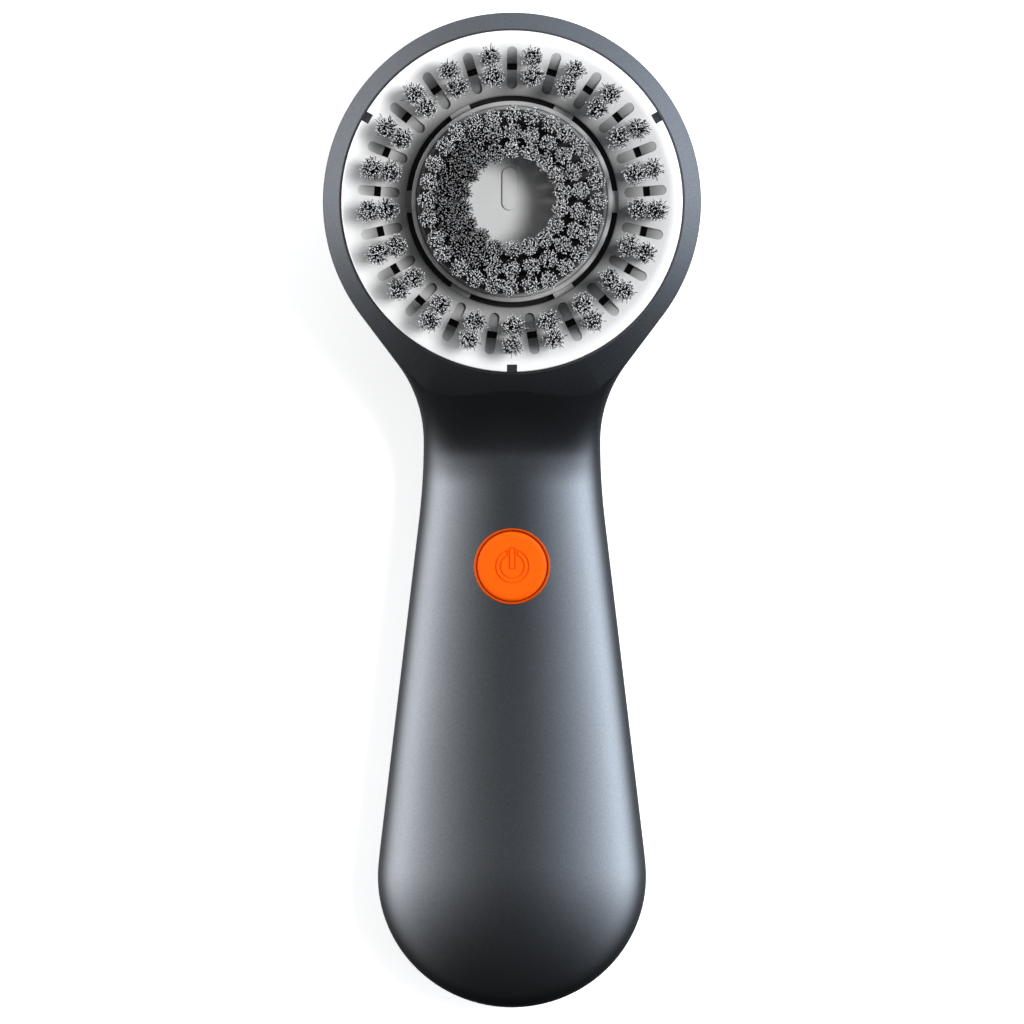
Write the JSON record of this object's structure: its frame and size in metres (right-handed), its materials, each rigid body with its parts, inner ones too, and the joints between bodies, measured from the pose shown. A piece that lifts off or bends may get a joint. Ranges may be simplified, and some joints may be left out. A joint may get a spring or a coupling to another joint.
{
  "type": "facial cleansing brush",
  "caption": "Handheld facial cleansing brush with a round oscillating bristle head, a slotted outer ring, a tapered handle and a round power button.",
  "frame": {"origin": "under the middle of the body, on the surface that it lies on, back down", "axes": "+Y from the handle's rounded end to the brush head, +Z the way the bristles and the button face, +X to the right as the bristles are looked at with the head up"},
  "size_m": [0.0504, 0.133, 0.039],
  "materials": {
    "graphite_shell": "satin metallic graphite paint over moulded plastic",
    "white_ring": "smooth moulded white plastic",
    "bristles": "fine grey and black nylon filaments, frayed at the tips",
    "disc_grey": "smooth grey moulded plastic",
    "button_orange": "smooth orange plastic with a slight sheen",
    "seal_black": "black silicone rubber",
    "frame_plastic": "glass-filled black nylon",
    "clip_plastic": "light grey acetal",
    "board_green": "solder mask on glass-epoxy board",
    "chip_black": "moulded chip packages",
    "cell_wrap": "shrink sleeve on a steel can",
    "nickel": "nickel-plated steel",
    "steel": "plain steel",
    "copper": "enamelled copper winding",
    "bronze": "oil-filled sintered bronze",
    "ferrite": "dark ferrite sheet"
  },
  "bodies": {
    "housing": {"front_shell": "graphite_shell", "rear_shell": "graphite_shell", "shell_gasket": "seal_black", "button_bezel": "button_orange", "button_seal": "button_orange", "tact_switch": "chip_black", "control_board": "board_green", "board_components": "chip_black", "chassis": "frame_plastic", "chassis_screws": "steel", "battery_cell": "cell_wrap", "battery_tabs": "nickel", "charge_coil": "copper", "coil_ferrite": "ferrite", "seat_magnet": "nickel", "motor_frame": "frame_plastic", "motor_screws": "steel", "lower_bush": "bronze", "upper_bush": "bronze", "spring_anchor": "steel", "torsion_bar": "steel", "stator_core": "steel", "stator_coil": "copper", "motor_leads": "seal_black", "shaft_seal": "seal_black"},
    "power_button": {"power_button": "button_orange"},
    "drive": {"drive_shaft": "steel", "armature_yoke": "steel", "armature_magnets": "nickel", "drive_hub": "clip_plastic"},
    "brush_head": {"brush_ring": "white_ring", "outer_tufts": "bristles", "bayonet_ring": "clip_plastic", "disc_retainer": "clip_plastic"},
    "brush_disc": {"centre_disc": "disc_grey", "outer_row_tufts": "bristles", "middle_row_tufts": "bristles", "inner_row_tufts": "bristles"}
  },
  "joints": [
    {"name": "power_press", "type": "slide", "parent": "housing", "child": "power_button", "axis": [0, 0, -1], "range_m": [0, 0.0005], "stiffness_N_per_m": 2000, "springref_m": -0.0002},
    {"name": "drive_swing", "type": "hinge", "parent": "housing", "child": "drive", "pos_m": [0, 0.0413, 0.014], "axis": [0, 0, 1], "range_deg": [-8, 8], "stiffness_Nm_per_rad": 0.05},
    {"name": "head_release", "type": "slide", "parent": "housing", "child": "brush_head", "axis": [0, 0, 1], "range_m": [0, 0.025]},
    {"name": "disc_swing", "type": "hinge", "parent": "brush_head", "child": "brush_disc", "pos_m": [0, 0.0413, 0.026], "axis": [0, 0, 1], "range_deg": [-8, 8]}
  ],
  "couplings": [
    {"joint": "disc_swing", "follows": "drive_swing", "ratio": 1}
  ]
}
